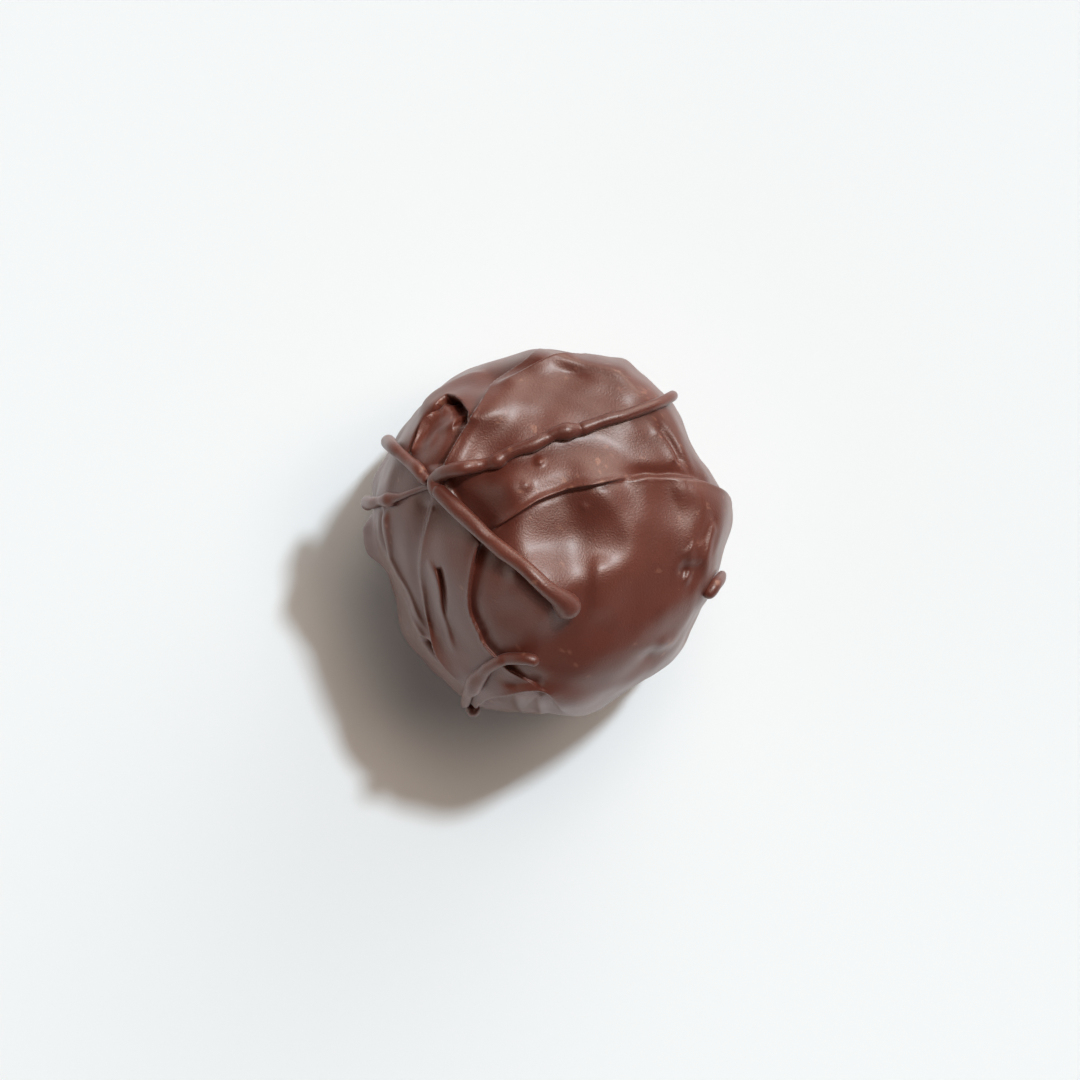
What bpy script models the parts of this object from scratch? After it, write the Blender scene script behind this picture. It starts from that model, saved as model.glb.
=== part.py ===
"""A hand-dipped chocolate truffle, 28 mm across: a set chocolate coat with folds, lips and pleats,
thin chocolate threads drizzled over it, and a flat foot where it was set down.

Directions on the ball are given as a bearing (degrees counter-clockwise from +X, seen from above)
and a tilt (degrees down from +Z). Sizes of the relief are in millimetres.
"""

import math

import bmesh
import bpy
import numpy as np

MM = 0.001

# Driving sizes
BALL_RADIUS = 13.65  # mm, the coat without its relief
CENTRE_HEIGHT = 12.9  # mm, centre of the ball above the table
FOOT_SKIRT = 0.50  # mm, how far the pool of chocolate at the foot stands out
FOOT_TILT = 152.0  # degrees, where that pool is thickest
SOFTEST_STEP = 0.45  # mm, half width of the steepest step the solid keeps
THREAD_SIDES = 2  # bevel resolution of the drizzled threads
NARROWEST_FOLD = 0.35  # mm, half width of the thinnest ridge or slit the solid keeps
KEPT_SHARE = 0.095  # share of the fine mesh kept in the solid
# The belly below the widest ring: tilt, how far it stands out in mm, half width in degrees
BELLY = (126, 0.9, 20)

# Rings that square off the shoulder of the ball: tilt, rise in mm, half width in degrees
SHOULDERS = ((58, 1.6, 15), (73, 2.2, 11))

COAT_BROWN = (0.165, 0.058, 0.038, 1.0)

# Broad swellings and flats of the coat: bearing, tilt, height, half width across and along (degrees)
LUMPS = {
    "right_shoulder": (6, 82, 0.75, 9, 22),
    "right_flat": (29, 84, -1.0, 13, 26),
    "upper_right_swell": (66, 80, 0.65, 13, 24),
    "top_swell": (92, 84, 0.40, 8, 24),
    "upper_left_flat": (148, 84, -0.25, 20, 26),
    "left_flat": (197, 88, -0.95, 14, 26),
    "lower_left_swell": (247, 84, 0.75, 16, 26),
    "bottom_swell": (281, 86, 0.55, 11, 24),
    "lower_right_flat": (334, 86, -0.70, 20, 28),
    "back_swell": (150, 128, 0.50, 28, 22),
    "back_flat": (30, 125, -0.50, 30, 22),
    "back_swell_two": (285, 128, 0.45, 30, 22),
}

# Rises and hollows of the top, straight up or down: bearing, tilt, rise, half width across and along
RISES = {
    "upper_sheet": (112, 44, 1.0, 15, 14),
    "middle_sheet": (66, 42, 0.70, 18, 12),
    "left_ground": (182, 42, -0.90, 24, 17),
    "left_slope": (205, 66, -4.60, 34, 17),
    "left_low": (205, 92, -2.80, 34, 24),
    "left_upper": (212, 50, -1.60, 26, 11),
    "pocket_basin": (138, 57, -1.50, 12, 9),
    "hood_corner": (143, 43, 1.10, 11, 11),
    "lip_bank": (40, 20, 0.35, 9, 6),
    "dome_hollow": (0, 7, -1.2, 12, 12),
    "right_corner": (5, 60, 0.50, 14, 14),
    "upper_right_brim": (76, 76, 1.9, 26, 12),
    "upper_right_table": (52, 66, 1.4, 24, 12),
    "right_brim": (346, 76, 1.7, 16, 14),
    "bottom_lobe": (277, 73, 1.80, 8, 13),
    "low_right_sheet": (312, 68, 0.50, 34, 12),
}

# Places where the side falls away steeply, with a long tail below: bearing, tilt, rise, half width
# across and, above the middle, along
FALLS = {
    "ledge_fall": (260, 76, -3.4, 13, 9),
    "low_right_fall": (302, 72, -3.0, 34, 15),
    "upper_left_fall": (115, 72, -3.0, 13, 12),
    "left_edge_fall": (214, 79, -1.8, 34, 10),
}
FALL_TAIL = 2.6  # times as tall below its middle as above it

# Folds that overlap like a lip. Path of (bearing, tilt), the side that stands proud (+1 left of the
# path, -1 right of it), height of the proud side, its width, depth of the crease under it, its width,
# softness of the step, lean of the lip over the crease, height of the thin bead on the lip, and the
# faded share at either end
LIPS = {
    "main_lip": (
        (
            (182, 19), (171, 15.5), (157, 12.5), (134, 10.5), (107, 10.5), (82, 12), (65, 15),
            (49, 19.5), (40, 25), (32, 32.5),
        ),
        1, 0.35, 2.2, 0.2, 0.55, 0.14, 0.18, 0.1, 0.15, 0.15,
    ),
    "shoulder_lip": (
        (
            (36, 28), (32, 32.5), (29, 37.5), (26, 42), (24, 47), (21, 54), (18, 62.5), (14, 71.5),
            (10, 84), (8, 95),
        ),
        -1, 0.55, 2.4, 0.45, 0.8, 0.25, 0.1, 0.05, 0.2, 0.1,
    ),
    "dome_left_lip": (
        (
            (188, 21), (192, 23), (200, 25.5), (208, 28.5), (215, 32), (222, 36), (228, 39), (235, 42),
            (240, 45), (246, 47.5), (254, 51.5), (263, 55.5), (271, 61),
        ),
        -1, 0.15, 1.0, 0.6, 1.2, 0.12, 0.1, 0.12, 0.08, 0.2,
    ),
    "hood_edge": (
        (
            (151, 41.5), (145, 42), (139, 43), (131, 45), (124, 47.5), (118, 51.5), (111, 57.5),
            (104, 63), (97, 70.5), (91, 86),
        ),
        -1, 1.2, 2.2, 1.2, 1.6, 0.13, 0.3, 0.1, 0.06, 0.35,
    ),
    "bridge_edge": (
        (
            (150, 40), (158, 36), (168, 29), (182, 22), (200, 20),
        ),
        -1, 0.35, 2.6, 0.7, 2.2, 0.6, 0.0, 0.0, 0.3, 0.3,
    ),
    "pocket_rim": (
        (
            (137, 66), (133, 66.5), (130, 67), (127, 66.5), (125, 63), (124, 59), (124, 55), (124, 51.5),
            (126, 48.5), (128, 46.5),
        ),
        1, 0.40, 1.0, 0.75, 0.9, 0.12, 0.0, 0.0, 0.15, 0.1,
    ),
    "pocket_ridge": (
        (
            (127, 65), (131, 65), (135, 64.5), (139, 65), (142, 64), (145, 62.5), (149, 61), (152, 60),
        ),
        1, 0.40, 1.2, 0.35, 0.8, 0.1, 0.0, 0.0, 0.1, 0.15,
    ),
    "left_pleat": (
        (
            (166, 41), (171, 41.5), (177, 42.5), (184, 44.5), (190, 46.5), (195, 48.5), (201, 50.5),
            (207, 52.5), (213, 55.5), (219, 59), (224, 63), (228, 66), (233, 68), (238, 70), (242, 74),
        ),
        1, 0.3, 0.8, 0.4, 1.4, 0.12, 0.0, 0.08, 0.06, 0.1,
    ),
    "top_facet_edge": (
        (
            (112, 56), (102, 59.5), (91, 65.5), (82, 76), (72, 90),
        ),
        -1, 0.45, 1.8, 0.5, 1.4, 0.2, 0.0, 0.05, 0.2, 0.2,
    ),
    "right_facet_edge": (
        (
            (49, 53), (44, 54), (40, 54), (35, 54.5), (30, 54), (27, 53.5),
        ),
        -1, 0.2, 1.2, 0.45, 1.2, 0.24, 0.0, 0.0, 0.3, 0.15,
    ),
    "bottom_ledge": (
        (
            (248, 86), (249, 74.5), (252, 67.5), (258, 63), (263, 60.5), (268, 60.5), (271, 65),
            (272, 74), (272, 88),
        ),
        1, 0.45, 1.0, 0.9, 1.6, 0.15, 0.0, 0.12, 0.1, 0.2,
    ),
    "back_lip": (
        (
            (95, 112), (128, 118), (160, 112), (196, 120),
        ),
        1, 0.4, 2.6, 0.3, 1.5, 0.35, 0.05, 0.0, 0.25, 0.25,
    ),
    "under_lip": (
        (
            (250, 104), (290, 114), (330, 108), (5, 118), (40, 110),
        ),
        -1, 0.3, 2.8, 0.25, 1.6, 0.45, 0.05, 0.0, 0.25, 0.25,
    ),
}

# Soft ridges (and, where the height is negative, grooves). Path, height, width to the left, width to
# the right, faded share at either end
RIDGES = {
    "dome_crest": (((215, 19), (243, 18), (269, 23), (284, 30)), 0.75, 2.2, 2.4, 0.3, 0.3),
    "lip_bead": (
        (
            (182, 19), (171, 15.5), (157, 12.5), (134, 10.5), (107, 10.5), (82, 12), (65, 15),
            (49, 19.5), (40, 25), (32, 32.5),
        ),
        0.3, 0.34, 0.24, 0.08, 0.12,
    ),
    "second_pleat": (
        (
            (193, 44.5), (196, 43), (202, 42.5), (208, 43.5), (215, 46.5), (222, 49.5), (228, 54),
            (233, 58.5),
        ),
        0.32, 0.35, 0.45, 0.2, 0.2,
    ),
    "pleat_valley": (((198, 45.5), (208, 49), (217, 54.5), (224, 60)), -0.22, 0.4, 0.4, 0.3, 0.3),
    "slit": (
        (
            (198, 39.5), (203, 40), (209, 41.5), (214, 44), (219, 47), (224, 49.5), (230, 53.5),
        ),
        -0.7, 0.26, 0.24, 0.06, 0.9,
    ),
    "outer_pleat": (
        (
            (172, 65), (178, 64.5), (184, 65), (190, 66.5), (195, 64), (201, 61), (207, 60.5),
            (214, 61.5), (220, 63),
        ),
        0.28, 0.45, 0.7, 0.1, 0.2,
    ),
    "outer_pleat_low": (((206, 69.5), (211, 66), (216, 65.5), (223, 66.5)), 0.2, 0.4, 0.7, 0.2, 0.2),
    "corner_hollow": (((219, 66), (224, 68.5), (228, 70), (233, 71.5)), -0.75, 0.5, 0.5, 0.3, 0.3),
    "flap_groove": (((171, 70), (177, 70), (184, 70.5), (190, 72)), -0.3, 0.4, 0.5, 0.2, 0.3),
    "left_flap": (((173, 84), (180, 88), (187, 90), (192, 93)), 1.05, 1.2, 1.2, 0.35, 0.4),
    "pocket_floor_fold": (
        (
            (129, 50), (132, 52.5), (135, 54), (139, 55.5), (141, 55), (145, 54.5), (149, 54.5),
        ),
        0.42, 0.7, 0.6, 0.15, 0.3,
    ),
    "pocket_pit": (((126, 61), (126, 56), (128, 51)), -0.5, 0.5, 0.5, 0.3, 0.3),
    "upper_left_rim": (((141, 74), (130, 75), (118, 72), (110, 68)), 0.35, 0.6, 1.1, 0.25, 0.3),
    "soft_dome_ridge": (((341, 17), (318, 21), (303, 28), (294, 35)), 0.3, 1.3, 0.7, 0.3, 0.3),
    "pinch_up": (((345, 54), (350, 52.5), (354, 49.5)), 0.18, 0.7, 0.7, 0.4, 0.25),
    "pinch_mid": (((346, 58), (351, 57.5), (357, 56)), 0.18, 0.6, 0.6, 0.4, 0.25),
    "pinch_out": (((345, 69), (349, 62), (355, 61.5), (0, 63), (4, 64)), 0.25, 0.6, 0.7, 0.3, 0.25),
    "lower_right_ridge": (((322, 72), (316, 65), (311, 58), (303, 52)), 0.3, 0.8, 0.9, 0.3, 0.3),
    "ledge_pleat_a": (((267, 62), (267, 70.5), (268, 84)), 0.22, 0.35, 0.35, 0.2, 0.2),
    "ledge_pleat_b": (((258, 64), (260, 74), (262, 86)), 0.18, 0.5, 0.4, 0.2, 0.2),
    "ledge_groove": (((252, 60), (258, 57), (264, 55.5), (269, 56)), -0.45, 0.9, 0.7, 0.3, 0.3),
    "thread_fillet": (
        (
            (150, 38.5), (141, 33), (128, 28), (104, 28), (86, 32), (71, 36.5), (58, 47.5), (50, 60),
        ),
        0.1, 0.7, 0.7, 0.1, 0.1,
    ),
}

# Small bumps and pits: bearing, tilt, height, radius
BUMPS = {
    "bump_on_sheet": (98, 22, 0.28, 0.32),
    "bump_low_on_sheet": (117, 16, 0.16, 0.40),
    "swell_on_sheet": (134, 19, 0.60, 1.50),
    "bump_under_lip": (34, 13, 0.10, 0.30),
    "bump_by_thread": (231, 18, 0.20, 0.50),
    "pinch_pit": (344, 50, -0.35, 0.55),
    "pinch_knob": (341, 54, 0.20, 0.50),
    "knob_low_right": (315, 62, 0.25, 0.80),
    "dent_low_right": (309, 62, -0.30, 0.80),
    "back_bump": (180, 135, 0.30, 1.10),
    "back_bump_two": (60, 105, 0.28, 1.00),
}

# Drizzled threads: waypoints of (bearing, tilt, lift of the middle line above the coat, radius)
THREADS = {
    "drizzle_long": (
        (162, 38, 0.60, 0.58),
        (160, 41, 0.55, 0.56),
        (157, 42.7, 0.50, 0.54),
        (154, 42, 0.48, 0.54),
        (150, 39.5, 0.45, 0.54),
        (144, 35, 0.42, 0.55),
        (138, 31.5, 0.38, 0.50),
        (133, 29.5, 0.38, 0.46),
        (127, 28, 0.46, 0.60),
        (121, 28, 0.38, 0.50),
        (112, 28, 0.38, 0.46),
        (102, 28, 0.42, 0.55),
        (96, 29, 0.42, 0.53),
        (91, 30, 0.36, 0.45),
        (87, 31.5, 0.40, 0.50),
        (80, 33, 0.50, 0.66),
        (74, 34.5, 0.38, 0.46),
        (71, 36, 0.40, 0.50),
        (66, 39.5, 0.36, 0.44),
        (62, 43, 0.36, 0.47),
        (57, 48, 0.34, 0.42),
        (53, 55, 0.34, 0.43),
        (50, 63, 0.38, 0.41),
        (48, 73.5, 0.60, 0.40),
        (47, 80, 0.75, 0.36),
    ),
    "drizzle_bridge": (
        (159, 41, 0.50, 0.58),
        (161, 38.5, 0.60, 0.60),
        (165, 33, 0.80, 0.63),
        (170, 28, 0.90, 0.64),
        (178, 23, 0.90, 0.60),
        (189, 19, 0.85, 0.57),
        (203, 16, 0.80, 0.62),
        (222, 14, 0.80, 0.57),
        (240, 14, 0.80, 0.58),
        (255, 15.5, 0.80, 0.60),
        (267, 18, 0.75, 0.62),
        (277, 21, 0.60, 0.72),
        (281, 23, 0.50, 0.90),
        (284, 25.2, 0.45, 1.02),
        (286, 27.3, 0.30, 0.88),
    ),
    "drizzle_upper_left": (
        (151, 80.5, 0.70, 0.58),
        (152, 70.5, 0.75, 0.51),
        (153, 63, 0.70, 0.46),
        (154, 57.5, 0.65, 0.47),
        (155, 52.5, 0.55, 0.53),
        (157, 48.5, 0.40, 0.47),
        (158, 44.5, 0.30, 0.44),
    ),
    "drizzle_left": (
        (159, 43.5, 0.20, 0.26),
        (162, 47.5, 0.20, 0.21),
        (165, 52.5, 0.22, 0.21),
        (167, 56.5, 0.30, 0.24),
        (168, 60, 0.38, 0.36),
        (169, 62.5, 0.40, 0.56),
        (169.5, 65, 0.40, 0.50),
        (170, 69, 0.40, 0.34),
        (171, 74, 0.45, 0.46),
        (171, 80, 0.50, 0.52),
        (172, 85, 0.50, 0.46),
    ),
    "drizzle_hook": (
        (244, 86, 0.30, 0.34),
        (244, 78, 0.30, 0.36),
        (243.5, 71, 0.30, 0.42),
        (244, 66.5, 0.40, 0.62),
        (244, 62, 0.42, 0.66),
        (245, 57, 0.45, 0.52),
        (246, 53.5, 0.50, 0.45),
        (249, 49, 0.55, 0.44),
        (252, 46.5, 0.60, 0.46),
        (257, 45, 0.70, 0.46),
        (261, 44.5, 0.75, 0.46),
        (265.5, 45.5, 0.75, 0.45),
    ),
    "nib": (
        (346, 81.5, 0.45, 0.31),
        (344, 78, 0.45, 0.46),
        (342, 74.5, 0.35, 0.50),
        (339, 72.5, 0.25, 0.50),
        (337, 71, 0.00, 0.36),
    ),
}

# Round drops along the threads: bearing, tilt, lift above the coat, radius
DROPS = {
    "hook_drop": (244, 65, 0.35, 0.68),
    "rim_drop": (247, 84, 0.35, 0.55),
}


def direction(bearing, tilt):
    """Unit vector of a bearing and a tilt in degrees."""
    b = math.radians(bearing)
    t = math.radians(tilt)
    return np.array((math.sin(t) * math.cos(b), math.sin(t) * math.sin(b), math.cos(t)))


def smooth_line(points, steps=12):
    """A curve that passes smoothly through the points (Catmull-Rom)."""
    p = np.asarray(points, dtype=float)
    p = np.vstack((2 * p[0] - p[1], p, 2 * p[-1] - p[-2]))
    line = []
    for i in range(1, len(p) - 2):
        for k in range(steps):
            u = k / steps
            a = 2 * p[i]
            b = (p[i + 1] - p[i - 1]) * u
            c = (2 * p[i - 1] - 5 * p[i] + 4 * p[i + 1] - p[i + 2]) * u**2
            d = (3 * p[i] - p[i - 1] - 3 * p[i + 1] + p[i + 2]) * u**3
            line.append(0.5 * (a + b + c + d))
    line.append(p[-2])
    return np.array(line)


def path_on_ball(waypoints):
    """Points of a smooth path on the unit ball."""
    line = smooth_line([direction(b, t) for b, t in waypoints])
    return line / np.linalg.norm(line, axis=1)[:, None]


def smoothstep(low, high, x):
    u = np.clip((x - low) / (high - low), 0.0, 1.0)
    return u * u * (3 - 2 * u)


def to_segment(rays, start, run):
    """Squared distance of each ray to a straight piece of a path, the gap and the share along it."""
    u = np.clip((rays - start) @ run / (run @ run), 0.0, 1.0)
    gap = rays - (start + u[:, None] * run)
    return np.einsum("ij,ij->i", gap, gap), gap, u


def across_path(rays, line):
    """Offset from a path in mm (left of it positive), share along it, and the leftward vector.

    Close to the path its nearest point counts; further off, points that are about as near share in.
    """
    best = np.full(len(rays), 1e9)
    side_of = np.zeros(len(rays))
    left = np.zeros((len(rays), 3))
    count = len(line) - 1
    for i in range(count):
        run = line[i + 1] - line[i]
        dist, gap, u = to_segment(rays, line[i], run)
        side = np.cross(line[i], run)
        side = side / np.linalg.norm(side)
        near = dist < best
        best[near] = dist[near]
        side_of[near] = np.sign(gap[near] @ side)
        left[near] = side
    best = np.sqrt(best)
    blend = 0.10 * best + 0.0015
    weight = np.zeros(len(rays))
    share = np.zeros(len(rays))
    for i in range(count):
        dist, gap, u = to_segment(rays, line[i], line[i + 1] - line[i])
        pull = np.exp((best - np.sqrt(dist)) / blend)
        weight += pull
        share += pull * (i + u) / count
    return best * side_of * BALL_RADIUS, share / weight, left


def fade(share, start, end):
    """1 along the middle of a path, falling to 0 at its ends."""
    return smoothstep(0.0, start, share) * smoothstep(0.0, end, 1.0 - share)


def near_path(rays, line, reach):
    """Indices of the rays that lie within reach (mm) of the path."""
    limit = math.cos(min(3.0, reach / BALL_RADIUS + 0.12))
    close = np.zeros(len(rays), dtype=bool)
    for point in line[::4]:
        close |= rays @ point > limit
    return np.nonzero(close)[0]


def lump(rays, bearing, tilt, size, wide, tall, tail=1.0):
    """A smooth swelling, or a hollow where its size is negative. Its lower half is tail times as tall."""
    middle = direction(bearing, tilt)
    east = np.cross((0, 0, 1), middle)
    east = east / np.linalg.norm(east)
    north = np.cross(middle, east)
    x = np.degrees(rays @ east) / wide
    y = np.degrees(rays @ north) / tall
    y = np.where(y < 0, y / tail, y)
    return size * np.exp(-(x**2) - y**2) * smoothstep(0.0, 0.5, rays @ middle)


def upward(rays):
    """The way a fold stands: straight up on the top of the ball, straight out on its sides."""
    tilt = np.degrees(np.arccos(np.clip(rays[:, 2], -1, 1)))
    share = smoothstep(50, 80, tilt)[:, None]
    way = rays * share + np.array((0, 0, 1)) * (1 - share)
    return way / np.linalg.norm(way, axis=1)[:, None]


def coat_relief(rays):
    """How far each point of the coat is moved off the plain ball, in mm."""
    tilt = np.degrees(np.arccos(np.clip(rays[:, 2], -1, 1)))
    swell = FOOT_SKIRT * np.exp(-(((tilt - FOOT_TILT) / 8.0) ** 2))
    swell += BELLY[1] * np.exp(-(((tilt - BELLY[0]) / BELLY[2]) ** 2))
    for sizes in LUMPS.values():
        swell += lump(rays, *sizes)
    rise = np.zeros(len(rays))
    for ring_tilt, ring_rise, spread in SHOULDERS:
        rise += ring_rise * np.exp(-(((tilt - ring_tilt) / spread) ** 2))
    for sizes in RISES.values():
        rise += lump(rays, *sizes)
    for sizes in FALLS.values():
        rise += lump(rays, *sizes, FALL_TAIL)
    fold = np.zeros(len(rays))
    lean = np.zeros((len(rays), 3))
    for path, side, up, up_width, down, down_width, soft, over, bead, start, end in LIPS.values():
        line = path_on_ball(path)
        at = near_path(rays, line, 2.6 * max(up_width, down_width))
        offset, share, left = across_path(rays[at], line)
        offset = offset * side
        strength = fade(share, start, end)
        soft = max(soft, SOFTEST_STEP)
        step = smoothstep(-soft, soft, offset)
        high = (up + bead) * np.exp(-((offset / up_width) ** 2))
        low = -down * np.exp(-((offset / down_width) ** 2))
        fold[at] += strength * (step * high + (1 - step) * low)
        push = 0.4 * over * strength * step * np.exp(-((offset / 0.7) ** 2))
        lean[at] -= side * push[:, None] * left
    for path, up, left_width, right_width, start, end in RIDGES.values():
        line = path_on_ball(path)
        at = near_path(rays, line, 2.6 * max(left_width, right_width))
        offset, share, left = across_path(rays[at], line)
        width = np.maximum(np.where(offset > 0, left_width, right_width), NARROWEST_FOLD)
        fold[at] += up * fade(share, start, end) * np.exp(-((offset / width) ** 2))
    for bearing, bump_tilt, up, radius in BUMPS.values():
        gap = np.linalg.norm(rays - direction(bearing, bump_tilt), axis=1) * BALL_RADIUS
        fold += up * np.exp(-((gap / radius) ** 2))
    shift = rays * swell[:, None] + upward(rays) * fold[:, None] + lean
    shift[:, 2] += rise
    return shift


def linked(collection, obj):
    for holder in list(obj.users_collection):
        holder.objects.unlink(obj)
    collection.objects.link(obj)
    return obj


def chocolate_material():
    material = bpy.data.materials.new("set_chocolate")
    material.use_nodes = True
    shader = material.node_tree.nodes["Principled BSDF"]
    shader.inputs["Base Color"].default_value = COAT_BROWN
    shader.inputs["Roughness"].default_value = 0.34
    shader.inputs["Metallic"].default_value = 0.0
    return material


def coat_ball(collection, material):
    """The ball of the coat with all its folds."""
    bpy.ops.mesh.primitive_ico_sphere_add(subdivisions=7, radius=BALL_RADIUS * MM)
    ball = bpy.context.active_object
    ball.name = "truffle"
    mesh = ball.data
    mesh.name = "truffle"
    rays = np.empty(len(mesh.vertices) * 3, dtype=np.float32)
    mesh.vertices.foreach_get("co", rays)
    rays = rays.reshape(-1, 3).astype(float)
    rays = rays / np.linalg.norm(rays, axis=1)[:, None]
    shape = rays * BALL_RADIUS + coat_relief(rays)
    shape[:, 2] += CENTRE_HEIGHT
    mesh.vertices.foreach_set("co", (shape * MM).astype(np.float32).ravel())
    mesh.shade_smooth()
    mesh.update()
    mesh.materials.append(material)
    return linked(collection, ball)


def thread_mesh(collection, name, waypoints):
    """A drizzled thread: a round tube along a smooth line, rounded at both ends."""
    rays = np.array([direction(b, t) for b, t, lift, radius in waypoints])
    lifts = np.array([w[2] for w in waypoints])
    sizes = np.array([w[3] for w in waypoints])
    middle = rays * BALL_RADIUS + coat_relief(rays) + upward(rays) * lifts[:, None]
    line = smooth_line(np.column_stack((middle, sizes)), 4)
    length = np.concatenate(([0.0], np.cumsum(np.linalg.norm(np.diff(line[:, :3], axis=0), axis=1))))
    curve = bpy.data.curves.new(name, "CURVE")
    curve.dimensions = "3D"
    curve.bevel_depth = MM
    curve.bevel_resolution = THREAD_SIDES
    curve.use_fill_caps = True
    spline = curve.splines.new("POLY")
    spline.points.add(len(line) - 1)
    for point, row, along in zip(spline.points, line, length):
        x, y, z, size = row
        ends = min(along, length[-1] - along) / size
        cap = math.sqrt(max(0.12, 1 - max(0.0, 1 - ends) ** 2))
        point.co = (x * MM, y * MM, (z + CENTRE_HEIGHT) * MM, 1.0)
        point.radius = size * cap
    tube = bpy.data.objects.new(name + "_line", curve)
    collection.objects.link(tube)
    bpy.context.view_layer.update()
    shape = tube.evaluated_get(bpy.context.evaluated_depsgraph_get())
    mesh = bpy.data.meshes.new_from_object(shape)
    mesh.name = name
    thread = bpy.data.objects.new(name, mesh)
    thread.matrix_world = tube.matrix_world
    collection.objects.link(thread)
    bpy.data.objects.remove(tube)
    weld(mesh)
    return guide(thread)


def weld(mesh):
    work = bmesh.new()
    work.from_mesh(mesh)
    bmesh.ops.remove_doubles(work, verts=work.verts, dist=0.00001)
    bmesh.ops.recalc_face_normals(work, faces=work.faces)
    work.to_mesh(mesh)
    work.free()


def guide(obj):
    """Shapes that are joined to the coat, or cut from it, are not pieces of their own."""
    obj.hide_render = True
    obj.display_type = "WIRE"
    return obj


def drop(collection, name, bearing, tilt, lift, radius):
    """A round drop of chocolate on the coat."""
    ray = direction(bearing, tilt)[None, :]
    place = (ray * BALL_RADIUS + coat_relief(ray) + upward(ray) * lift)[0] + (0, 0, CENTRE_HEIGHT)
    bpy.ops.mesh.primitive_ico_sphere_add(subdivisions=3, radius=radius * MM, location=place * MM)
    ball = bpy.context.active_object
    ball.name = name
    return guide(linked(collection, ball))


def table_cutter(collection):
    """Everything below the table is cut away, which leaves the flat foot."""
    side = 4 * BALL_RADIUS * MM
    bpy.ops.mesh.primitive_cube_add(size=side, location=(0, 0, -side / 2))
    block = bpy.context.active_object
    block.name = "below_table"
    return guide(linked(collection, block))


def build():
    for obj in list(bpy.data.objects):
        bpy.data.objects.remove(obj)
    scene = bpy.context.scene
    pieces = bpy.data.collections.new("chocolate_truffle")
    guides = bpy.data.collections.new("truffle_cutters")
    threads = bpy.data.collections.new("truffle_threads")
    scene.collection.children.link(pieces)
    scene.collection.children.link(guides)
    guides.children.link(threads)

    truffle = coat_ball(pieces, chocolate_material())
    for name, waypoints in THREADS.items():
        thread_mesh(threads, name, waypoints)
    for name, sizes in DROPS.items():
        drop(threads, name, *sizes)

    join = truffle.modifiers.new("threads", "BOOLEAN")
    join.operation = "UNION"
    join.operand_type = "COLLECTION"
    join.collection = threads
    join.solver = "EXACT"

    plain = truffle.modifiers.new("fewer_faces", "DECIMATE")
    plain.ratio = KEPT_SHARE

    foot = truffle.modifiers.new("foot", "BOOLEAN")
    foot.operation = "DIFFERENCE"
    foot.object = table_cutter(guides)
    foot.solver = "EXACT"


build()
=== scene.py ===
"""The looks of a hand-dipped chocolate truffle, 28 mm across.

The coat is a fine ball shaped by named folds, lips, pleats and dents. Thin threads of chocolate lie
over it. Directions on the ball are a bearing (degrees counter-clockwise from +X, seen from above)
and a tilt (degrees down from +Z); sizes of the relief are in millimetres.
"""

import math

import bmesh
import bpy
import numpy as np
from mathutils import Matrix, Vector


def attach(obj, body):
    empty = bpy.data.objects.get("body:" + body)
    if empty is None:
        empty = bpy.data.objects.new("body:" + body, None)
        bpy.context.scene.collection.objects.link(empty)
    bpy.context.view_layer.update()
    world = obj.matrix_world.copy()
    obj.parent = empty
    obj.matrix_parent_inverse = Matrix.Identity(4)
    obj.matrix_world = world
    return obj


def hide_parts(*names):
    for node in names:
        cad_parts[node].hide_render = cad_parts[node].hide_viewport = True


MM = 0.001
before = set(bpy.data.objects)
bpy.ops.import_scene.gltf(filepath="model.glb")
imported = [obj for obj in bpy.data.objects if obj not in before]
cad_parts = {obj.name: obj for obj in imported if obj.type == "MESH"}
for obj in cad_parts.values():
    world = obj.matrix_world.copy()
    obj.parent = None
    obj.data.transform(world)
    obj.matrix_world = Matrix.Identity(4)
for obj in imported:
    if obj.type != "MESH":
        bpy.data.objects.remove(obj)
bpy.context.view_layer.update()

BALL_RADIUS = 13.65
CENTRE_HEIGHT = 12.9
FOOT_SKIRT = 0.50
FOOT_TILT = 152.0
# The belly below the widest ring: tilt, how far it stands out, half width in degrees
BELLY = (126, 0.9, 20)
# Rings that square off the shoulder of the ball: tilt, rise, half width in degrees
SHOULDERS = ((58, 1.6, 15), (73, 2.2, 11))

WINDOW_BEARING = 60.0

# Soft studio lamps: bearing, tilt, tightness of the glow, colour
LAMPS = (
    (0, 0, 20, (0.10, 0.10, 0.10)),
    (22, 27, 80, (7.0, 5.7, 4.6)),
    (72, 27, 80, (5.6, 4.6, 3.7)),
    (60, 86, 10, (5.2, 5.2, 4.8)),
    (180, 86, 10, (0.80, 0.75, 0.70)),
    (240, 86, 10, (0.84, 0.79, 0.75)),
    (300, 86, 10, (0.36, 0.37, 0.40)),
)

RIPPLE_SEED = 7
RIPPLE_WAVES = 36
RIPPLE_LENGTHS = (1.8, 7.0)
RIPPLE_SLOPE = 0.0050

# Broad swellings and flats: bearing, tilt, height, half width across and along (degrees)
LUMPS = {
    "right_shoulder": (6, 82, 0.18, 8, 22),
    "right_flat": (29, 84, -1.0, 13, 26),
    "upper_right_swell": (56, 80, 0.15, 8, 20),
    "upper_right_knob": (66, 82, 0.45, 4, 14),
    "upper_notch": (79, 83, -0.25, 4, 16),
    "top_swell": (92, 84, 0.35, 6, 24),
    "upper_left_flat": (148, 84, -0.25, 20, 26),
    "left_flat": (197, 88, -0.95, 14, 26),
    "lower_left_swell": (247, 84, 0.75, 16, 26),
    "bottom_swell": (281, 86, 0.55, 11, 24),
    "lower_right_flat": (334, 86, -0.70, 20, 28),
    "back_swell": (150, 128, 0.50, 28, 22),
    "back_flat": (30, 125, -0.50, 30, 22),
    "back_swell_two": (285, 128, 0.45, 30, 22),
}

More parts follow.
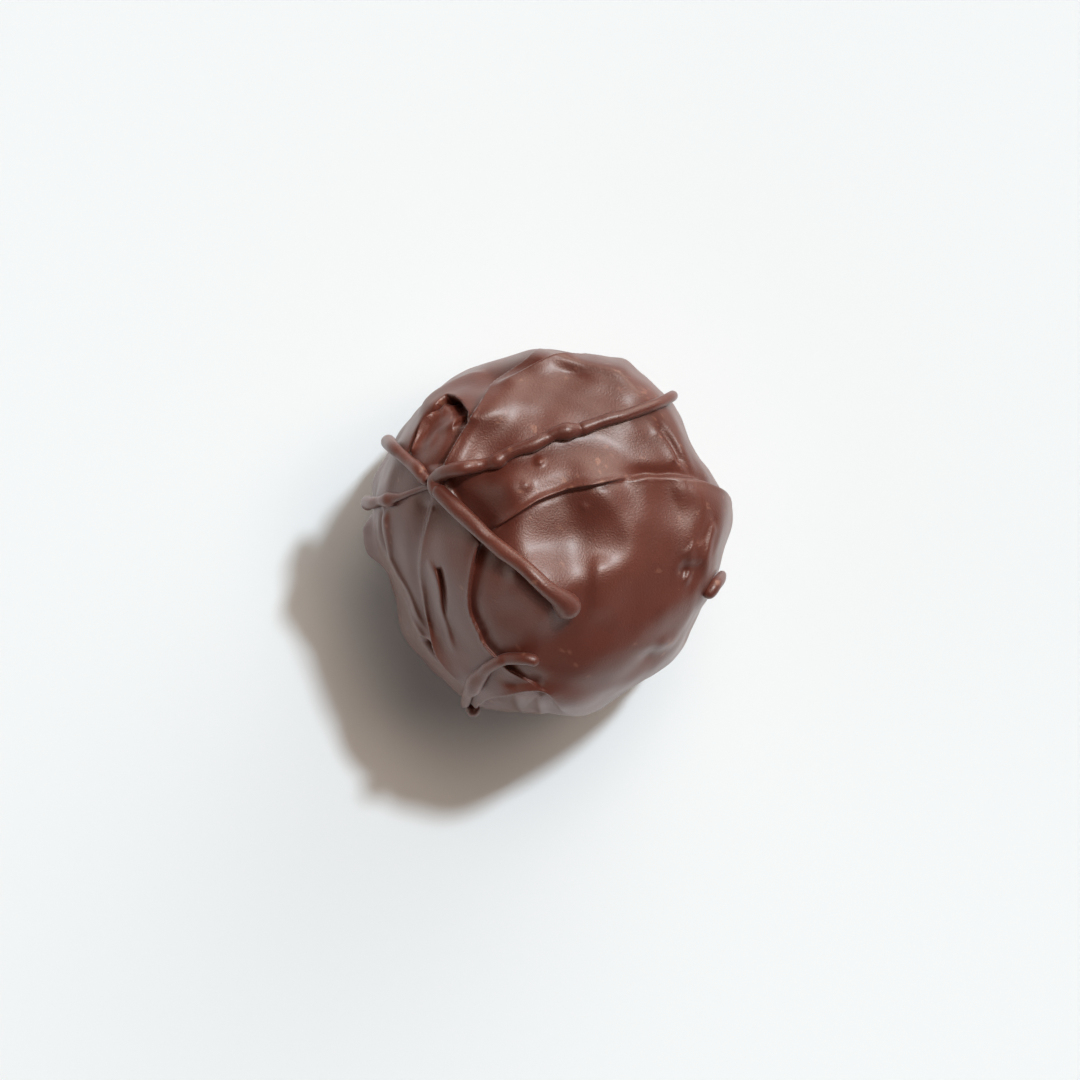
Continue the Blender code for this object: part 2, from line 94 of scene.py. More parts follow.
# Rises and hollows of the top, straight up or down: bearing, tilt, rise, half width across and along
RISES = {
    "upper_sheet": (112, 44, 1.0, 15, 14),
    "middle_sheet": (66, 42, 0.70, 18, 12),
    "left_ground": (182, 42, -0.90, 24, 17),
    "left_slope": (205, 66, -4.60, 34, 17),
    "left_low": (205, 92, -2.80, 34, 24),
    "left_upper": (212, 50, -1.60, 26, 11),
    "pocket_basin": (138, 57, -1.50, 12, 9),
    "hood_corner": (143, 43, 1.10, 11, 11),
    "lip_bank": (40, 20, 0.35, 9, 6),
    "dome_hollow": (0, 7, -1.2, 12, 12),
    "right_corner": (5, 60, 0.50, 14, 14),
    "upper_right_brim": (78, 75, 1.6, 24, 11),
    "upper_right_table": (56, 64, 1.2, 26, 12),
    "right_brim": (346, 76, 1.7, 16, 14),
    "bottom_lobe": (277, 73, 1.80, 8, 13),
    "low_right_sheet": (312, 68, 0.50, 34, 12),
}

# Places where the side falls away steeply, with a long tail below: bearing, tilt, rise, half width
# across and, above the middle, along
FALLS = {
    "ledge_fall": (260, 76, -3.4, 13, 9),
    "low_right_fall": (302, 72, -3.0, 34, 15),
    "upper_left_fall": (115, 72, -3.0, 13, 12),
    "left_edge_fall": (214, 79, -1.8, 34, 10),
}
FALL_TAIL = 2.6

# Folds that overlap like a lip. Path of (bearing, tilt), the side that stands proud (+1 left of the
# path, -1 right of it), height of the proud side, its width, depth of the crease under it, its width,
# softness of the step, lean of the lip over the crease, height of the thin bead on the lip, and the
# faded share at either end
LIPS = {
    "main_lip": (((182, 19), (171, 15.5), (157, 12.5), (134, 10.5), (107, 10.5), (82, 12), (65, 15), (49, 19.5), (40, 25), (32, 32.5)), 1, 0.35, 2.2, 0.25, 0.45, 0.14, 0.25, 0.10, 0.15, 0.15),
    "shoulder_lip": (((36, 28), (32, 32.5), (29, 37.5), (26, 42), (24, 47), (21, 54), (18, 62.5), (14, 71.5), (10, 84), (8, 95)), -1, 0.55, 2.4, 0.45, 0.8, 0.25, 0.1, 0.05, 0.2, 0.1),
    "dome_left_lip": (((188, 21), (192, 23), (200, 25.5), (208, 28.5), (215, 32), (222, 36), (228, 39), (235, 42), (240, 45), (246, 47.5), (254, 51.5), (263, 55.5), (271, 61)), -1, 0.15, 1.0, 0.60, 1.2, 0.12, 0.1, 0.12, 0.08, 0.2),
    "hood_edge": (((151, 41.5), (145, 42), (139, 43), (131, 45), (124, 47.5), (118, 51.5), (111, 57.5), (104, 63), (97, 70.5), (91, 86)), -1, 1.20, 2.2, 1.20, 1.6, 0.13, 0.30, 0.10, 0.06, 0.35),
    "bridge_edge": (((150, 40), (158, 36), (168, 29), (182, 22), (200, 20)), -1, 0.35, 2.6, 0.70, 2.2, 0.60, 0.0, 0.0, 0.3, 0.3),
    "pocket_rim": (((137, 66), (133, 66.5), (130, 67), (127, 66.5), (125, 63), (124, 59), (124, 55), (124, 51.5), (126, 48.5), (128, 46.5)), 1, 0.45, 1.0, 1.2, 0.9, 0.12, 0.20, 0.08, 0.15, 0.1),
    "pocket_ridge": (((127, 65), (131, 65), (135, 64.5), (139, 65), (142, 64), (145, 62.5), (149, 61), (152, 60)), 1, 0.50, 1.2, 0.60, 0.6, 0.10, 0.15, 0.10, 0.1, 0.15),
    "left_pleat": (((166, 41), (171, 41.5), (177, 42.5), (184, 44.5), (190, 46.5), (195, 48.5), (201, 50.5), (207, 52.5), (213, 55.5), (219, 59), (224, 63), (228, 66), (233, 68), (238, 70), (242, 74)), 1, 0.30, 0.8, 0.40, 1.4, 0.12, 0.0, 0.08, 0.06, 0.1),
    "top_facet_edge": (((112, 56), (102, 59.5), (91, 65.5), (82, 76), (72, 90)), -1, 0.45, 1.8, 0.50, 1.4, 0.20, 0.0, 0.05, 0.2, 0.2),
    "right_facet_edge": (((49, 53), (44, 54), (40, 54), (35, 54.5), (30, 54), (27, 53.5)), -1, 0.20, 1.2, 0.45, 1.2, 0.24, 0.0, 0.0, 0.3, 0.15),
    "bottom_ledge": (((248, 86), (249, 74.5), (252, 67.5), (258, 63), (263, 60.5), (268, 60.5), (271, 65), (273, 72), (275, 80)), 1, 0.45, 1.0, 0.90, 1.6, 0.22, 0.0, 0.10, 0.1, 0.4),
    "back_lip": (((95, 112), (128, 118), (160, 112), (196, 120)), 1, 0.40, 2.6, 0.30, 1.5, 0.35, 0.05, 0.0, 0.25, 0.25),
    "under_lip": (((250, 104), (290, 114), (330, 108), (5, 118), (40, 110)), -1, 0.30, 2.8, 0.25, 1.6, 0.45, 0.05, 0.0, 0.25, 0.25),
}

# Soft ridges (and, where the height is negative, grooves). Path, height, width to the left, width to
# the right, faded share at either end
RIDGES = {
    "dome_crest": (((215, 19), (243, 18), (269, 23), (284, 30)), 0.75, 2.2, 2.4, 0.3, 0.3),
    "lip_bead": (((182, 19), (171, 15.5), (157, 12.5), (134, 10.5), (107, 10.5), (82, 12), (65, 15), (49, 19.5), (40, 25), (32, 32.5)), 0.30, 0.34, 0.24, 0.08, 0.12),
    "second_pleat": (((193, 44.5), (196, 43), (202, 42.5), (208, 43.5), (215, 46.5), (222, 49.5), (228, 54), (233, 58.5)), 0.32, 0.35, 0.45, 0.2, 0.2),
    "pleat_valley": (((198, 45.5), (208, 49), (217, 54.5), (224, 60)), -0.22, 0.40, 0.40, 0.3, 0.3),
    "slit": (((198, 39.5), (203, 40), (209, 41.5), (214, 44), (219, 47), (224, 49.5), (230, 53.5)), -0.70, 0.26, 0.24, 0.06, 0.9),
    "outer_pleat": (((172, 65), (178, 64.5), (184, 65), (190, 66.5), (195, 64), (201, 61), (207, 60.5), (214, 61.5), (220, 63)), 0.28, 0.45, 0.7, 0.1, 0.2),
    "outer_pleat_low": (((206, 69.5), (211, 66), (216, 65.5), (223, 66.5)), 0.20, 0.4, 0.7, 0.2, 0.2),
    "corner_hollow": (((219, 66), (224, 68.5), (228, 70), (233, 71.5)), -0.75, 0.5, 0.5, 0.3, 0.3),
    "flap_groove": (((171, 70), (177, 70), (184, 70.5), (190, 72)), -0.30, 0.4, 0.5, 0.2, 0.3),
    "left_flap": (((173, 84), (180, 88), (187, 90), (192, 93)), 1.05, 1.2, 1.2, 0.35, 0.4),
    "pocket_floor_fold": (((129, 50), (132, 52.5), (135, 54), (139, 55.5), (141, 55), (145, 54.5), (149, 54.5)), 0.42, 0.7, 0.6, 0.15, 0.3),
    "pocket_pit": (((126, 61), (126, 56), (128, 51)), -0.50, 0.5, 0.5, 0.3, 0.3),
    "upper_left_rim": (((141, 74), (130, 75), (118, 72), (110, 68)), 0.35, 0.6, 1.1, 0.25, 0.3),
    "soft_dome_ridge": (((341, 17), (318, 21), (303, 28), (294, 35)), 0.30, 1.3, 0.7, 0.3, 0.3),
    "pinch_up": (((345, 54), (350, 52.5), (354, 49.5)), 0.18, 0.7, 0.7, 0.4, 0.25),
    "pinch_mid": (((346, 58), (351, 57.5), (357, 56)), 0.18, 0.6, 0.6, 0.4, 0.25),
    "pinch_out": (((345, 69), (349, 62), (355, 61.5), (0, 63), (4, 64)), 0.25, 0.6, 0.7, 0.3, 0.25),
    "lower_right_ridge": (((322, 72), (316, 65), (311, 58), (303, 52)), 0.30, 0.8, 0.9, 0.3, 0.3),
    "ledge_pleat_a": (((267, 62), (267, 70.5), (268, 84)), 0.22, 0.35, 0.35, 0.2, 0.2),
    "ledge_pleat_b": (((258, 64), (260, 74), (262, 86)), 0.18, 0.5, 0.4, 0.2, 0.2),
    "ledge_groove": (((252, 60), (258, 57), (264, 55.5), (269, 56)), -0.45, 0.9, 0.7, 0.3, 0.3),
    "thread_fillet": (((150, 38.5), (141, 33), (128, 28), (104, 28), (86, 32), (71, 36.5), (58, 47.5), (50, 60)), 0.10, 0.7, 0.7, 0.1, 0.1),
}

# Small bumps and pits: bearing, tilt, height, radius
BUMPS = {
    "bump_on_sheet": (98, 22, 0.28, 0.32),
    "bump_low_on_sheet": (117, 16, 0.16, 0.40),
    "swell_on_sheet": (134, 19, 0.60, 1.50),
    "bump_under_lip": (34, 13, 0.10, 0.30),
    "bump_by_thread": (231, 18, 0.20, 0.50),
    "pinch_pit": (344, 50, -0.35, 0.55),
    "pinch_knob": (341, 54, 0.20, 0.50),
    "knob_low_right": (315, 62, 0.25, 0.80),
    "dent_low_right": (309, 62, -0.30, 0.80),
    "back_bump": (180, 135, 0.30, 1.10),
    "back_bump_two": (60, 105, 0.28, 1.00),
}

# Threads: waypoints of (bearing, tilt, lift of the middle line above the coat, radius)
THREADS = {
    "drizzle_long": (
        (162, 38, 0.60, 0.58),
        (160, 41, 0.55, 0.56),
        (157, 42.7, 0.50, 0.54),
        (154, 42, 0.48, 0.54),
        (150, 39.5, 0.45, 0.54),
        (144, 35, 0.42, 0.55),
        (138, 31.5, 0.38, 0.50),
        (133, 29.5, 0.38, 0.46),
        (127, 28, 0.46, 0.60),
        (121, 28, 0.38, 0.50),
        (112, 28, 0.38, 0.46),
        (102, 28, 0.42, 0.55),
        (96, 29, 0.42, 0.53),
        (91, 30, 0.36, 0.45),
        (87, 31.5, 0.40, 0.50),
        (80, 33, 0.50, 0.66),
        (74, 34.5, 0.38, 0.46),
        (71, 36, 0.40, 0.50),
        (66, 39.5, 0.36, 0.44),
        (62, 43, 0.36, 0.47),
        (57, 48, 0.34, 0.42),
        (53, 55, 0.34, 0.43),
        (50, 63, 0.38, 0.41),
        (48, 71.5, 0.50, 0.42),
        (47.5, 76, 0.60, 0.40),
    ),
    "drizzle_bridge": (
        (159, 41, 0.50, 0.58),
        (161, 38.5, 0.60, 0.60),
        (165, 33, 0.80, 0.63),
        (170, 28, 0.90, 0.64),
        (178, 23, 0.90, 0.60),
        (189, 19, 0.85, 0.57),
        (203, 16, 0.80, 0.62),
        (222, 14, 0.80, 0.57),
        (240, 14, 0.80, 0.58),
        (255, 15.5, 0.80, 0.60),
        (267, 18, 0.75, 0.62),
        (277, 21, 0.60, 0.72),
        (281, 23, 0.50, 0.90),
        (284, 25.2, 0.45, 1.02),
        (286, 27.3, 0.30, 0.88),
    ),
    "drizzle_upper_left": (
        (151, 80.5, 0.70, 0.58),
        (152, 70.5, 0.75, 0.51),
        (153, 63, 0.70, 0.46),
        (154, 57.5, 0.65, 0.47),
        (155, 52.5, 0.55, 0.53),
        (157, 48.5, 0.40, 0.47),
        (158, 44.5, 0.30, 0.44),
    ),
    "drizzle_left": (
        (159, 43.5, 0.20, 0.26),
        (162, 47.5, 0.20, 0.21),
        (165, 52.5, 0.22, 0.21),
        (167, 56.5, 0.30, 0.24),
        (168, 60, 0.38, 0.36),
        (169, 62.5, 0.40, 0.56),
        (169.5, 65, 0.40, 0.50),
        (170, 69, 0.40, 0.34),
        (171, 74, 0.45, 0.46),
        (171, 80, 0.50, 0.52),
        (172, 85, 0.50, 0.46),
    ),
    "drizzle_hook": (
        (244, 86, 0.30, 0.34),
        (244, 78, 0.30, 0.36),
        (243.5, 71, 0.30, 0.42),
        (244, 66.5, 0.40, 0.62),
        (244, 62, 0.42, 0.66),
        (245, 57, 0.45, 0.52),
        (246, 53.5, 0.50, 0.45),
        (249, 49, 0.55, 0.44),
        (252, 46.5, 0.60, 0.46),
        (257, 45, 0.70, 0.46),
        (261, 44.5, 0.75, 0.46),
        (265.5, 45.5, 0.75, 0.45),
    ),
    "nib": (
        (346, 81.5, 0.45, 0.31),
        (344, 78, 0.45, 0.46),
        (342, 74.5, 0.35, 0.50),
        (339, 72.5, 0.25, 0.50),
        (337, 71, 0.00, 0.36),
    ),
}

# Round drops along the threads: bearing, tilt, lift above the coat, radius
DROPS = {
    "hook_drop": (244, 65, 0.35, 0.68),
    "rim_drop": (247, 84, 0.35, 0.55),
}


def direction(bearing, tilt):
    b = math.radians(bearing)
    t = math.radians(tilt)
    return np.array((math.sin(t) * math.cos(b), math.sin(t) * math.sin(b), math.cos(t)))


def smooth_line(points, steps=12):
    p = np.asarray(points, dtype=float)
    p = np.vstack((2 * p[0] - p[1], p, 2 * p[-1] - p[-2]))
    line = []
    for i in range(1, len(p) - 2):
        for k in range(steps):
            u = k / steps
            a = 2 * p[i]
            b = (p[i + 1] - p[i - 1]) * u
            c = (2 * p[i - 1] - 5 * p[i] + 4 * p[i + 1] - p[i + 2]) * u**2
            d = (3 * p[i] - p[i - 1] - 3 * p[i + 1] + p[i + 2]) * u**3
            line.append(0.5 * (a + b + c + d))
    line.append(p[-2])
    return np.array(line)


def path_on_ball(waypoints):
    line = smooth_line([direction(b, t) for b, t in waypoints], 8)
    return line / np.linalg.norm(line, axis=1)[:, None]


def smoothstep(low, high, x):
    u = np.clip((x - low) / (high - low), 0.0, 1.0)
    return u * u * (3 - 2 * u)


def to_segment(rays, start, run):
    """Squared distance of each ray to a straight piece of a path, the gap and the share along it."""
    u = np.clip((rays - start) @ run / (run @ run), 0.0, 1.0)
    gap = rays - (start + u[:, None] * run)
    return np.einsum("ij,ij->i", gap, gap), gap, u


def across_path(rays, line):
    """Offset from a path in mm (left of it positive), share along it, and the leftward vector.

    Close to the path its nearest point counts; further off, points that are about as near share in.
    """
    best = np.full(len(rays), 1e9)
    side_of = np.zeros(len(rays))
    left = np.zeros((len(rays), 3))
    count = len(line) - 1
    for i in range(count):
        run = line[i + 1] - line[i]
        dist, gap, u = to_segment(rays, line[i], run)
        side = np.cross(line[i], run)
        side = side / np.linalg.norm(side)
        near = dist < best
        best[near] = dist[near]
        side_of[near] = np.sign(gap[near] @ side)
        left[near] = side
    best = np.sqrt(best)
    blend = 0.10 * best + 0.0015
    weight = np.zeros(len(rays))
    share = np.zeros(len(rays))
    for i in range(count):
        dist, gap, u = to_segment(rays, line[i], line[i + 1] - line[i])
        pull = np.exp((best - np.sqrt(dist)) / blend)
        weight += pull
        share += pull * (i + u) / count
    return best * side_of * BALL_RADIUS, share / weight, left


def fade(share, start, end):
    return smoothstep(0.0, start, share) * smoothstep(0.0, end, 1.0 - share)


def near_path(rays, line, reach):
    limit = math.cos(min(3.0, reach / BALL_RADIUS + 0.12))
    close = np.zeros(len(rays), dtype=bool)
    for point in line[::4]:
        close |= rays @ point > limit
    return np.nonzero(close)[0]


def lump(rays, bearing, tilt, size, wide, tall, tail=1.0):
    """A smooth swelling, or a hollow where its size is negative. Its lower half is tail times as tall."""
    middle = direction(bearing, tilt)
    east = np.cross((0, 0, 1), middle)
    east = east / np.linalg.norm(east)
    north = np.cross(middle, east)
    x = np.degrees(rays @ east) / wide
    y = np.degrees(rays @ north) / tall
    y = np.where(y < 0, y / tail, y)
    return size * np.exp(-(x**2) - y**2) * smoothstep(0.0, 0.5, rays @ middle)


def ripple(rays):
    """The slight unevenness of a coat set by hand: many faint waves in all directions."""
    chance = np.random.default_rng(RIPPLE_SEED)
    height = np.zeros(len(rays))
    for _ in range(RIPPLE_WAVES):
        way = chance.normal(size=3)
        way = way / np.linalg.norm(way)
        length = chance.uniform(*RIPPLE_LENGTHS)
        phase = chance.uniform(0, 2 * math.pi)
        height += np.sin(rays @ way * (BALL_RADIUS * 2 * math.pi / length) + phase) * length
    return height * RIPPLE_SLOPE


def upward(rays):
    """The way a fold stands: straight up on the top of the ball, straight out on its sides."""
    tilt = np.degrees(np.arccos(np.clip(rays[:, 2], -1, 1)))
    share = smoothstep(50, 80, tilt)[:, None]
    way = rays * share + np.array((0, 0, 1)) * (1 - share)
    return way / np.linalg.norm(way, axis=1)[:, None]


def coat_relief(rays):
    """How far each point of the coat is moved off the plain ball, in mm."""
    tilt = np.degrees(np.arccos(np.clip(rays[:, 2], -1, 1)))
    swell = FOOT_SKIRT * np.exp(-(((tilt - FOOT_TILT) / 8.0) ** 2))
    swell += BELLY[1] * np.exp(-(((tilt - BELLY[0]) / BELLY[2]) ** 2))
    for sizes in LUMPS.values():
        swell += lump(rays, *sizes)
    rise = np.zeros(len(rays))
    for ring_tilt, ring_rise, spread in SHOULDERS:
        rise += ring_rise * np.exp(-(((tilt - ring_tilt) / spread) ** 2))
    for sizes in RISES.values():
        rise += lump(rays, *sizes)
    for sizes in FALLS.values():
        rise += lump(rays, *sizes, FALL_TAIL)
    fold = ripple(rays)
    lean = np.zeros((len(rays), 3))
    for path, side, up, up_width, down, down_width, soft, over, bead, start, end in LIPS.values():
        line = path_on_ball(path)
        at = near_path(rays, line, 2.6 * max(up_width, down_width))
        offset, share, left = across_path(rays[at], line)
        offset = offset * side
        strength = fade(share, start, end)
        step = smoothstep(-soft, soft, offset)
        high = up * np.exp(-((offset / up_width) ** 2))
        low = -down * np.exp(-((offset / down_width) ** 2))
        high += bead * np.exp(-(((offset - soft) / 0.22) ** 2))
        fold[at] += strength * (step * high + (1 - step) * low)
        push = over * strength * step * np.exp(-((offset / 0.7) ** 2))
        lean[at] -= side * push[:, None] * left
    for path, up, left_width, right_width, start, end in RIDGES.values():
        line = path_on_ball(path)
        at = near_path(rays, line, 2.6 * max(left_width, right_width))
        offset, share, left = across_path(rays[at], line)
        width = np.where(offset > 0, left_width, right_width)
        fold[at] += up * fade(share, start, end) * np.exp(-((offset / width) ** 2))
    for bearing, bump_tilt, up, radius in BUMPS.values():
        gap = np.linalg.norm(rays - direction(bearing, bump_tilt), axis=1) * BALL_RADIUS
        fold += up * np.exp(-((gap / radius) ** 2))
    shift = rays * swell[:, None] + upward(rays) * fold[:, None] + lean
    shift[:, 2] += rise
    return shift


def chocolate():
    material = bpy.data.materials.new("set_chocolate_look")
    material.use_nodes = True
    nodes = material.node_tree.nodes
    links = material.node_tree.links
    shader = nodes["Principled BSDF"]
    place = nodes.new("ShaderNodeTexCoord")
    blotch = nodes.new("ShaderNodeTexNoise")
    blotch.inputs["Scale"].default_value = 220
    blotch.inputs["Detail"].default_value = 6
    links.new(place.outputs["Object"], blotch.inputs["Vector"])
    tint = nodes.new("ShaderNodeValToRGB")
    tint.color_ramp.elements[0].position = 0.3
    tint.color_ramp.elements[0].color = (0.102, 0.0200, 0.0108, 1)
    tint.color_ramp.elements[1].position = 0.7
    tint.color_ramp.elements[1].color = (0.140, 0.0300, 0.0165, 1)
    links.new(blotch.outputs["Fac"], tint.inputs["Fac"])
    # Painted highlight: the convex crests of the lips, ridges and threads, found by the mesh's pointiness, get a paler
    # orange-brown colour that stands in for the bright edge highlight along them.
    edges = nodes.new("ShaderNodeNewGeometry")
    crest = nodes.new("ShaderNodeMapRange")
    crest.inputs["From Min"].default_value = 0.56
    crest.inputs["From Max"].default_value = 0.66
    crest.inputs["To Max"].default_value = 0.55
    links.new(edges.outputs["Pointiness"], crest.inputs["Value"])
    painted_crest_highlight = nodes.new("ShaderNodeMix")
    painted_crest_highlight.data_type = "RGBA"
    links.new(crest.outputs["Result"], painted_crest_highlight.inputs["Factor"])
    links.new(tint.outputs["Color"], painted_crest_highlight.inputs["A"])
    painted_crest_highlight.inputs["B"].default_value = (0.30, 0.115, 0.070, 1)
    dots = nodes.new("ShaderNodeTexVoronoi")
    dots.inputs["Scale"].default_value = 1300
    links.new(place.outputs["Object"], dots.inputs["Vector"])
    size = nodes.new("ShaderNodeMapRange")
    size.inputs["From Min"].default_value = 0.07
    size.inputs["From Max"].default_value = 0.03
    links.new(dots.outputs["Distance"], size.inputs["Value"])
    patch = nodes.new("ShaderNodeTexNoise")
    patch.inputs["Scale"].default_value = 330
    links.new(place.outputs["Object"], patch.inputs["Vector"])
    some = nodes.new("ShaderNodeMapRange")
    some.inputs["From Min"].default_value = 0.50
    some.inputs["From Max"].default_value = 0.62
    links.new(patch.outputs["Fac"], some.inputs["Value"])
    both = nodes.new("ShaderNodeMath")
    both.operation = "MULTIPLY"
    links.new(size.outputs["Result"], both.inputs[0])
    links.new(some.outputs["Result"], both.inputs[1])
    specks = nodes.new("ShaderNodeMix")
    specks.data_type = "RGBA"
    links.new(both.outputs["Value"], specks.inputs["Factor"])
    links.new(painted_crest_highlight.outputs["Result"], specks.inputs["A"])
    specks.inputs["B"].default_value = (0.28, 0.115, 0.065, 1)
    links.new(specks.outputs["Result"], shader.inputs["Base Color"])
    grain = nodes.new("ShaderNodeTexNoise")
    grain.inputs["Scale"].default_value = 7000
    grain.inputs["Detail"].default_value = 3
    links.new(place.outputs["Object"], grain.inputs["Vector"])
    bump = nodes.new("ShaderNodeBump")
    bump.inputs["Strength"].default_value = 1.0
    bump.inputs["Distance"].default_value = 0.00003
    links.new(grain.outputs["Fac"], bump.inputs["Height"])
    links.new(bump.outputs["Normal"], shader.inputs["Normal"])
    shader.inputs["Roughness"].default_value = 0.44
    shader.inputs["IOR"].default_value = 1.62
    shader.inputs["Specular Tint"].default_value = (1.0, 0.84, 0.75, 1)
    shader.inputs["Coat Weight"].default_value = 0.3
    shader.inputs["Coat Roughness"].default_value = 0.33
    shader.inputs["Coat IOR"].default_value = 1.5
    shader.inputs["Sheen Weight"].default_value = 0.08
    shader.inputs["Sheen Roughness"].default_value = 0.4
    shader.inputs["Sheen Tint"].default_value = (1, 0.95, 0.92, 1)
    return material


def link(obj):
    bpy.context.scene.collection.objects.link(obj)
    return obj


def coat(material):
    levels = 8
    bpy.ops.mesh.primitive_ico_sphere_add(subdivisions=levels, radius=1)
    ball = bpy.context.active_object
    ball.name = "coat"
    mesh = ball.data
    rays = np.empty(len(mesh.vertices) * 3, dtype=np.float32)
    mesh.vertices.foreach_get("co", rays)
    rays = rays.reshape(-1, 3).astype(float)
    rays = rays / np.linalg.norm(rays, axis=1)[:, None]
    shape = rays * BALL_RADIUS + coat_relief(rays)
    shape[:, 2] = np.maximum(shape[:, 2] + CENTRE_HEIGHT, 0)
    mesh.vertices.foreach_set("co", (shape * MM).astype(np.float32).ravel())
    mesh.shade_smooth()
    mesh.update()
    mesh.materials.append(material)
    fewer = ball.modifiers.new("fewer", "DECIMATE")
    fewer.ratio = 0.58
    bpy.ops.object.modifier_apply(modifier=fewer.name)
    return ball


def thread(name, waypoints, material):
    rays = np.array([direction(b, t) for b, t, lift, radius in waypoints])
    lifts = np.array([w[2] for w in waypoints])
    sizes = np.array([w[3] for w in waypoints])
    middle = rays * BALL_RADIUS + coat_relief(rays) + upward(rays) * lifts[:, None]
    line = smooth_line(np.column_stack((middle, sizes)), 8)
    length = np.concatenate(([0.0], np.cumsum(np.linalg.norm(np.diff(line[:, :3], axis=0), axis=1))))
    curve = bpy.data.curves.new(name, "CURVE")
    curve.dimensions = "3D"
    curve.bevel_depth = MM
    curve.bevel_resolution = 8
    curve.use_fill_caps = True
    spline = curve.splines.new("POLY")
    spline.points.add(len(line) - 1)
    for point, row, along in zip(spline.points, line, length):
        x, y, z, size = row
        ends = min(along, length[-1] - along) / size
        cap = math.sqrt(max(0.05, 1 - max(0.0, 1 - ends) ** 2))
        point.co = (x * MM, y * MM, (z + CENTRE_HEIGHT) * MM, 1.0)
        point.radius = size * cap
    tube = link(bpy.data.objects.new(name + "_line", curve))
    bpy.context.view_layer.update()
    shape = tube.evaluated_get(bpy.context.evaluated_depsgraph_get())
    mesh = bpy.data.meshes.new_from_object(shape)
    bpy.data.objects.remove(tube)
    work = bmesh.new()
    work.from_mesh(mesh)
    bmesh.ops.remove_doubles(work, verts=work.verts, dist=0.000005)
    bmesh.ops.recalc_face_normals(work, faces=work.faces)
    work.to_mesh(mesh)
    work.free()
    mesh.shade_smooth()
    mesh.materials.clear()
    mesh.materials.append(material)
    return link(bpy.data.objects.new(name, mesh))


def drop(name, bearing, tilt, lift, radius, material):
    ray = direction(bearing, tilt)[None, :]
    place = (ray * BALL_RADIUS + coat_relief(ray) + upward(ray) * lift)[0] + (0, 0, CENTRE_HEIGHT)
    bpy.ops.mesh.primitive_ico_sphere_add(subdivisions=5, radius=radius * MM, location=place * MM)
    ball = bpy.context.active_object
    ball.name = name
    ball.data.shade_smooth()
    ball.data.materials.append(material)
    return ball


def floor():
    bpy.ops.mesh.primitive_plane_add(size=6, location=(0, 0, 0))
    plane = bpy.context.active_object
    plane.name = "table"
    material = bpy.data.materials.new("white_table")
    material.use_nodes = True
    shader = material.node_tree.nodes["Principled BSDF"]
    shader.inputs["Base Color"].default_value = (0.92, 0.92, 0.92, 1)
    shader.inputs["Roughness"].default_value = 0.9
    plane.data.materials.append(material)


def soft_lobe(world, place, before, toward, power, colour):
    """Adds the glow of a big soft lamp, brightest at its middle, to the studio light."""
    nodes = world.node_tree.nodes
    links = world.node_tree.links
    aim = nodes.new("ShaderNodeVectorMath")
    aim.operation = "DOT_PRODUCT"
    aim.inputs[1].default_value = toward
    links.new(place.outputs["Generated"], aim.inputs[0])
    front = nodes.new("ShaderNodeMath")
    front.operation = "MAXIMUM"
    front.inputs[1].default_value = 0
    links.new(aim.outputs["Value"], front.inputs[0])
    narrow = nodes.new("ShaderNodeMath")
    narrow.operation = "POWER"
    narrow.inputs[1].default_value = power
    links.new(front.outputs["Value"], narrow.inputs[0])
    tinted = nodes.new("ShaderNodeVectorMath")
    tinted.operation = "SCALE"
    tinted.inputs[0].default_value = colour
    links.new(narrow.outputs["Value"], tinted.inputs["Scale"])
    total = nodes.new("ShaderNodeVectorMath")
    total.operation = "ADD"
    links.new(before.outputs["Vector"], total.inputs[0])
    links.new(tinted.outputs["Vector"], total.inputs[1])
    return total


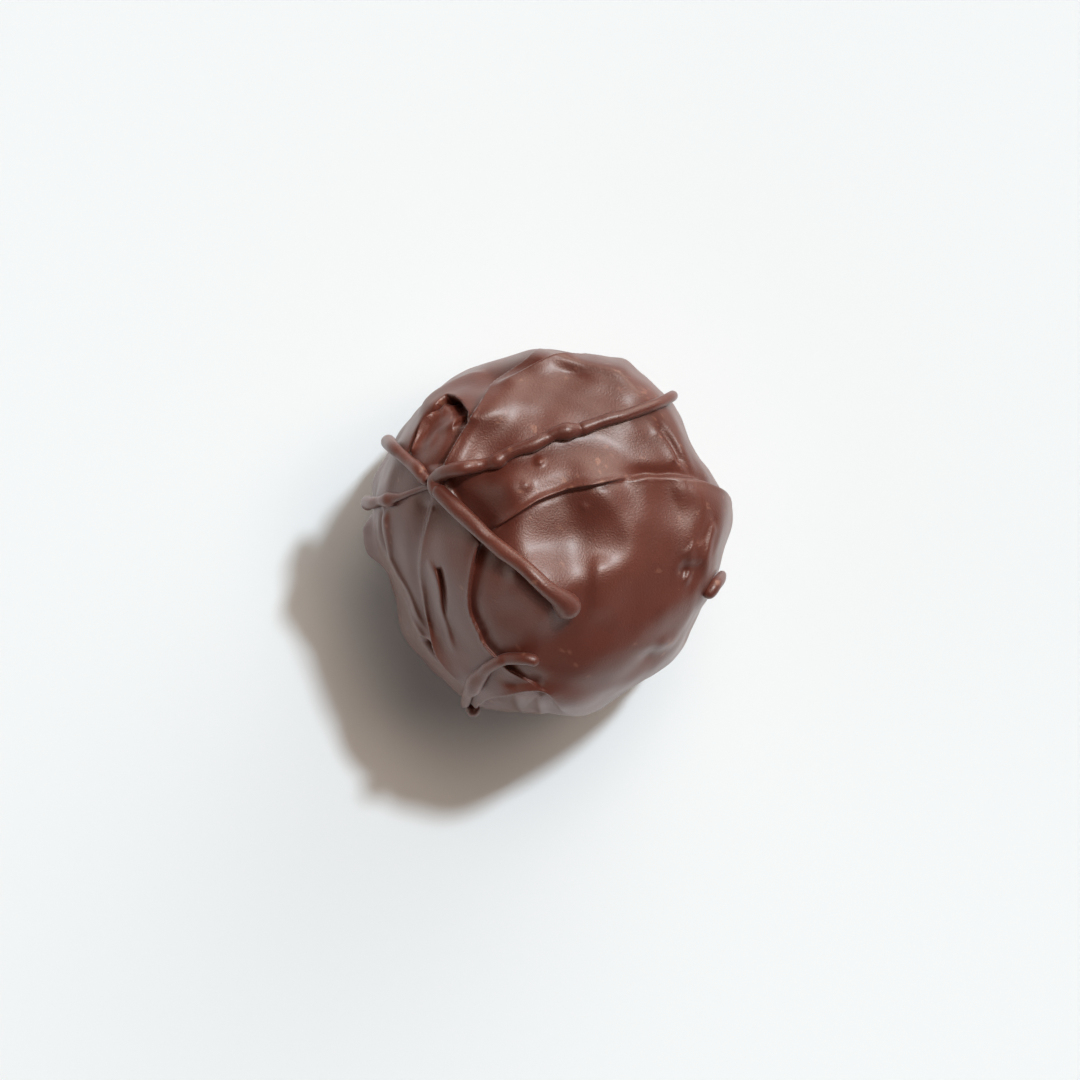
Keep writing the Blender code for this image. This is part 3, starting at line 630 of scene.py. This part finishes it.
def light_and_camera():
    scene = bpy.context.scene
    scene.view_settings.view_transform = "Standard"
    world = bpy.data.worlds.new("studio")
    scene.world = world
    world.use_nodes = True
    background = world.node_tree.nodes["Background"]
    links = world.node_tree.links
    place = world.node_tree.nodes.new("ShaderNodeTexCoord")
    axes = world.node_tree.nodes.new("ShaderNodeSeparateXYZ")
    glow = world.node_tree.nodes.new("ShaderNodeValToRGB")
    glow.color_ramp.interpolation = "EASE"
    glow.color_ramp.elements[0].position = 0.0
    glow.color_ramp.elements[0].color = (1, 0.96, 0.92, 1)
    glow.color_ramp.elements[1].position = 0.55
    glow.color_ramp.elements[1].color = (0, 0, 0, 1)
    links.new(place.outputs["Generated"], axes.inputs["Vector"])
    links.new(axes.outputs["Z"], glow.inputs["Fac"])
    facing = world.node_tree.nodes.new("ShaderNodeVectorMath")
    facing.operation = "DOT_PRODUCT"
    facing.inputs[1].default_value = direction(WINDOW_BEARING, 90)
    links.new(place.outputs["Generated"], facing.inputs[0])
    around = world.node_tree.nodes.new("ShaderNodeMapRange")
    around.inputs["From Min"].default_value = -1
    around.inputs["From Max"].default_value = 1
    around.inputs["To Min"].default_value = 0.0
    around.inputs["To Max"].default_value = 0.3
    links.new(facing.outputs["Value"], around.inputs["Value"])
    walls = world.node_tree.nodes.new("ShaderNodeVectorMath")
    walls.operation = "SCALE"
    links.new(glow.outputs["Color"], walls.inputs[0])
    links.new(around.outputs["Result"], walls.inputs["Scale"])
    total = world.node_tree.nodes.new("ShaderNodeVectorMath")
    total.operation = "ADD"
    total.inputs[1].default_value = (0.012, 0.009, 0.007)
    links.new(walls.outputs["Vector"], total.inputs[0])
    for bearing, tilt, power, colour in LAMPS:
        total = soft_lobe(world, place, total, direction(bearing, tilt), power, colour)
    links.new(total.outputs["Vector"], background.inputs["Color"])
    key = bpy.data.lights.new("key", "SUN")
    key.energy = 2.38
    key.angle = math.radians(5)
    key.color = (0.78, 0.91, 1.0)
    lamp = link(bpy.data.objects.new("key", key))
    bearing = math.radians(47)
    rise = math.radians(57)
    toward = Vector((math.cos(bearing) * math.cos(rise), math.sin(bearing) * math.cos(rise), math.sin(rise)))
    lamp.rotation_euler = toward.to_track_quat("Z", "Y").to_euler()
    lamp.location = toward * 0.6
    view = bpy.data.cameras.new("view")
    view.sensor_width = 36
    view.lens = 153
    view.clip_start = 0.01
    camera = link(bpy.data.objects.new("view", view))
    camera.location = (-0.0007, -0.0007, 0.363)
    scene.camera = camera


brown = chocolate()
shapes = [coat(brown)]
for name, waypoints in THREADS.items():
    shapes.append(thread(name, waypoints, brown))
for name, sizes in DROPS.items():
    shapes.append(drop(name, *sizes, brown))
for piece in shapes:
    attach(piece, "root")
    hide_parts("truffle")
floor()
light_and_camera()
